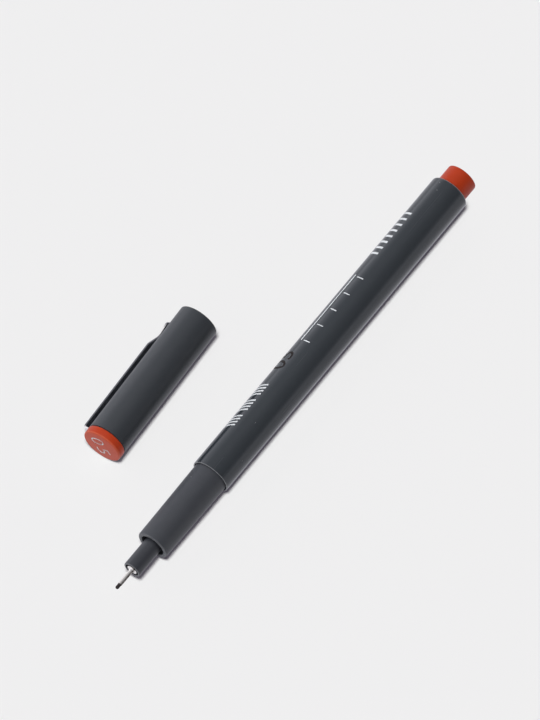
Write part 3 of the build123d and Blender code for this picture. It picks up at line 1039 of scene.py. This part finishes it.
NUMBER_ROLL_DEG = 49
NUMBER_SIZE = 6.4
NUMBER_CURVE_STEPS = 6
CAP_NUMBER_SIZE = 5.8
CAP_NUMBER_THINNER = 0.09
CAP_NUMBER_SHIFT = (0, -0.58, 0)
CAP_NUMBER_SPACING = 1.25


def flat_stroke(name, place, length, width, slant_deg=0.0):
    """A flat stroke across the reading line, drawn from a plane and cut into narrow strips."""
    bpy.ops.object.select_all(action="DESELECT")
    bpy.ops.mesh.primitive_plane_add(
        size=1,
        location=(place, 0, 0),
        rotation=(0, 0, math.radians(slant_deg)),
    )
    piece = bpy.context.active_object
    # The operator that adds a plane leaves its own scale out
    piece.scale = (width, length, 1)
    piece.name = name
    apply_place(piece)
    slice_across(piece)
    return piece


def flat_number(name, size, spacing=1.0, thinner=0.0):
    """A flat number whose middle is at the origin, its outline drawn in by thinner."""
    bpy.ops.object.select_all(action="DESELECT")
    bpy.ops.object.text_add(location=(0, 0, 0))
    piece = bpy.context.active_object
    piece.name = name
    piece.data.body = NUMBER_TEXT
    piece.data.size = size
    piece.data.space_character = spacing
    piece.data.offset = -thinner
    piece.data.align_x = "CENTER"
    piece.data.align_y = "CENTER"
    piece.data.resolution_u = NUMBER_CURVE_STEPS
    bpy.ops.object.convert(target="MESH")
    return bpy.context.active_object


def slice_across(piece):
    """Cuts a flat piece into narrow strips, so that it can follow the barrel's curve."""
    edit(piece)
    count = round(PRINT_HEIGHT / PRINT_STRIP)
    for index in range(count + 1):
        place = -PRINT_HEIGHT / 2 + index * PRINT_STRIP
        bpy.ops.mesh.select_all(action="SELECT")
        bpy.ops.mesh.bisect(plane_co=(0, place, 0), plane_no=(0, 1, 0))
    done()


def join(pieces, name):
    """Joins pieces into one with a new name."""
    only(pieces[0])
    for piece in pieces:
        piece.select_set(True)
    bpy.ops.object.join()
    joined = bpy.context.active_object
    joined.name = name
    joined.data.name = name
    return joined


def print_on_barrel(piece, barrel, roll_deg, ink):
    """Lays a flat print against the barrel at an angle from the top, and presses it on."""
    roll = Matrix.Rotation(-math.radians(roll_deg), 4, "X")
    lay(piece, pen_lie @ roll @ Matrix.Translation((0, 0, barrel_r * MM)))
    apply_modifier(
        piece, "SHRINKWRAP", target=barrel, wrap_method="NEAREST_SURFACEPOINT",
        wrap_mode="ABOVE_SURFACE", offset=PRINT_LIFT * MM,
    )
    apply_modifier(piece, "SOLIDIFY", thickness=PRINT_THICKNESS * MM, offset=-1)
    settle(piece, [ink], "pen")


def make_prints(barrel):
    """Prints the marks and the number along the barrel."""
    rule_middle = sum(RULE_SPAN) / 2
    rule = flat_stroke("rule_print", rule_middle, RULE_WIDTH, RULE_SPAN[1] - RULE_SPAN[0])
    print_on_barrel(rule, barrel, RULE_ROLL_DEG, white_ink)
    ticks = [flat_stroke("tick", place, TICK_HEIGHT, TICK_WIDTH) for place in TICK_PLACES]
    print_on_barrel(join(ticks, "tick_print"), barrel, TICK_ROLL_DEG, white_ink)
    hatches = [
        flat_stroke("hatch", place + offset, HATCH_HEIGHT, HATCH_WIDTH, HATCH_SLANT_DEG)
        for place in HATCH_PLACES
        for offset in HATCH_OFFSETS
    ]
    print_on_barrel(join(hatches, "hatch_print"), barrel, HATCH_ROLL_DEG, white_ink)
    bars = [flat_stroke("bar", place, BAR_HEIGHT, BAR_WIDTH) for place in BAR_PLACES]
    print_on_barrel(join(bars, "bar_print"), barrel, BAR_ROLL_DEG, white_ink)
    number = flat_number("number_print", NUMBER_SIZE)
    number.location.x = NUMBER_PLACE
    apply_place(number)
    slice_across(number)
    print_on_barrel(number, barrel, NUMBER_ROLL_DEG, dark_ink)


def make_cap_number():
    """The line width on the cap's end, upright with its top turned away from the clip."""
    piece = flat_number(
        "cap_number_print", CAP_NUMBER_SIZE, CAP_NUMBER_SPACING, CAP_NUMBER_THINNER
    )
    piece.location = CAP_NUMBER_SHIFT
    apply_place(piece)
    face = cap_origin + cap_way * (cap_end - PRINT_THICKNESS / 2) * MM
    lie = Matrix((-clip_across, -clip_out, cap_way)).transposed().to_4x4()
    lay(piece, Matrix.Translation(face) @ lie)
    apply_modifier(piece, "SOLIDIFY", thickness=PRINT_THICKNESS * MM, offset=0)
    settle(piece, [white_ink], "cap")


def finish_hidden():
    """Pieces inside the barrel keep their solids and get their finish."""
    finishes = {
        "feed_wick": wick_fibre,
        "ink_reservoir": wad_fibre,
        "reservoir_film": film_plastic,
    }
    for node, material in finishes.items():
        mesh = frame["nodes"][node].data
        mesh.materials.clear()
        mesh.materials.append(material)


# Table, light and camera
def table_material():
    """Pale table that keeps the shadow. In reflections it is partly its own light."""
    material, tree, shader = start_material("table", Roughness=0.9, Specular_IOR_Level=0.0)
    shader.inputs["Base Color"].default_value = (*TABLE_PAINT, 1)
    path = add(tree, "ShaderNodeLightPath")
    shares = (
        ("Is Camera Ray", TABLE_GLOW_SHARE, TABLE_WHITE, TABLE_GLOW_TINT),
        ("Is Glossy Ray", TABLE_MIRROR_SHARE, TABLE_MIRROR_LEVEL, TABLE_MIRROR_TINT),
        ("Is Transmission Ray", TABLE_GLOW_SHARE, TABLE_WHITE, TABLE_GLOW_TINT),
    )
    surface = shader.outputs[0]
    for ray, share, level, tint in shares:
        glow = add(tree, "ShaderNodeEmission", Color=(*tint, 1), Strength=level)
        amount = add(tree, "ShaderNodeMath", operation="MULTIPLY")
        amount.inputs[1].default_value = share
        mix = add(tree, "ShaderNodeMixShader")
        tree.links.new(path.outputs[ray], amount.inputs[0])
        tree.links.new(amount.outputs[0], mix.inputs["Fac"])
        tree.links.new(surface, mix.inputs[1])
        tree.links.new(glow.outputs[0], mix.inputs[2])
        surface = mix.outputs[0]
    tree.links.new(surface, tree.nodes["Material Output"].inputs["Surface"])
    return material


def make_table():
    """The plain table that the pen and the cap lie on."""
    bpy.ops.object.select_all(action="DESELECT")
    bpy.ops.mesh.primitive_plane_add(size=TABLE_SIDE, location=(0, 0, 0))
    table = bpy.context.active_object
    table.name = "table"
    table.data.materials.append(table_material())
    return table


def grey_ramp(tree, stops):
    """A ramp through grey levels, each stop (place, level)."""
    ramp = add(tree, "ShaderNodeValToRGB")
    elements = ramp.color_ramp.elements
    for place, _ in stops[1:-1]:
        elements.new(place)
    for element, (place, level) in zip(elements, stops):
        element.position = place
        element.color = (level, level, level, 1)
    return ramp


def make_room():
    """A white room: bright low down, dim half way up, and brighter on the cap's side.

    Reflections show it in full, matt surfaces get a small share of its light, and the camera
    sees plain white past the table.
    """
    world = bpy.data.worlds.new("room")
    bpy.context.scene.world = world
    world.use_nodes = True
    tree = world.node_tree
    way = add(tree, "ShaderNodeTexCoord")
    split = add(tree, "ShaderNodeSeparateXYZ")
    height = grey_ramp(tree, ROOM_HEIGHT_STOPS)
    side = grey_ramp(tree, ROOM_SIDE_STOPS)
    across = add(tree, "ShaderNodeMapRange", clamp=True, From_Min=-1.0)
    level = add(tree, "ShaderNodeMath", operation="ADD")
    soft = add(tree, "ShaderNodeMath", operation="MULTIPLY")
    soft.inputs[1].default_value = ROOM_SOFT_SHARE
    room = tree.nodes["Background"]
    room.inputs["Color"].default_value = (*ROOM_TINT, 1)
    dimmed = add(tree, "ShaderNodeBackground", Color=(*ROOM_SOFT_TINT, 1))
    backdrop = add(tree, "ShaderNodeBackground", Color=(1, 1, 1, 1), Strength=TABLE_WHITE)
    tree.links.new(way.outputs["Generated"], split.inputs[0])
    tree.links.new(split.outputs["Z"], height.inputs["Fac"])
    tree.links.new(split.outputs["Y"], across.inputs["Value"])
    tree.links.new(across.outputs[0], side.inputs["Fac"])
    tree.links.new(height.outputs["Color"], level.inputs[0])
    tree.links.new(side.outputs["Color"], level.inputs[1])
    tree.links.new(level.outputs[0], room.inputs["Strength"])
    tree.links.new(level.outputs[0], soft.inputs[0])
    tree.links.new(soft.outputs[0], dimmed.inputs["Strength"])
    path = add(tree, "ShaderNodeLightPath")
    surface = room.outputs[0]
    for ray, other in (("Diffuse Depth", dimmed), ("Is Camera Ray", backdrop)):
        mix = add(tree, "ShaderNodeMixShader")
        tree.links.new(path.outputs[ray], mix.inputs["Fac"])
        tree.links.new(surface, mix.inputs[1])
        tree.links.new(other.outputs[0], mix.inputs[2])
        surface = mix.outputs[0]
    tree.links.new(surface, tree.nodes["World Output"].inputs["Surface"])


def link_light(name, pieces, state):
    """A collection of pieces that a light includes or excludes."""
    linked = bpy.data.collections.new(name)
    for index, piece in enumerate(pieces):
        linked.objects.link(piece)
        linked.collection_objects[index].light_linking.link_state = state
    return linked


def make_sun(name, light, pieces, on_pieces, unshadowed=()):
    """A soft light from far away, on the given pieces alone or on everything else.

    The unshadowed pieces cast no shadow in it.
    """
    turn_by = [math.radians(angle) for angle in light["tilt_deg"]]
    bpy.ops.object.light_add(type="SUN", location=(0, 0, 1), rotation=turn_by)
    sun = bpy.context.active_object
    sun.name = name
    sun.data.energy = light["level"] * math.pi
    sun.data.angle = math.radians(light["angle_deg"])
    sun.visible_glossy = False
    state = "INCLUDE" if on_pieces else "EXCLUDE"
    sun.light_linking.receiver_collection = link_light(name, pieces, state)
    if unshadowed:
        faint = link_light(name + "_faint", unshadowed, "EXCLUDE")
        sun.light_linking.blocker_collection = faint


def make_camera():
    """A distant camera, so that lengths hardly shorten with depth."""
    azimuth = math.radians(CAMERA_AZIMUTH_DEG)
    elevation = math.radians(CAMERA_ELEVATION_DEG)
    back = Vector((
        math.sin(azimuth) * math.cos(elevation),
        -math.cos(azimuth) * math.cos(elevation),
        math.sin(elevation),
    ))
    bpy.ops.object.camera_add(location=Vector(CAMERA_TARGET) + back * CAMERA_DISTANCE)
    camera = bpy.context.active_object
    camera.rotation_euler = back.to_track_quat("Z", "Y").to_euler()
    camera.data.sensor_width = SENSOR_SIDE
    camera.data.lens = SENSOR_SIDE * CAMERA_DISTANCE / CAMERA_VIEW_HEIGHT
    camera.data.clip_end = TABLE_SIDE * 2
    bpy.context.scene.camera = camera


barrel_piece = make_barrel()
make_grip()
make_nose()
needle_piece = make_needle()
nib_piece = make_nib()
tail_piece = make_tail()
make_cap_tube()
make_inner_cap()
cap_button_piece = make_cap_plug()
make_clip()
make_prints(barrel_piece)
make_cap_number()
finish_hidden()
table_piece = make_table()
make_room()
# The table light casts no shadow of the slim tip and the tail
unshadowed = [needle_piece, nib_piece, tail_piece]
make_sun("table_light", TABLE_LIGHT, [table_piece], on_pieces=True, unshadowed=unshadowed)
make_sun("key_light", KEY_LIGHT, [table_piece], on_pieces=False)
make_sun("fill_light", FILL_LIGHT, [cap_button_piece], on_pieces=True)
make_camera()
bpy.context.scene.view_settings.view_transform = "Standard"
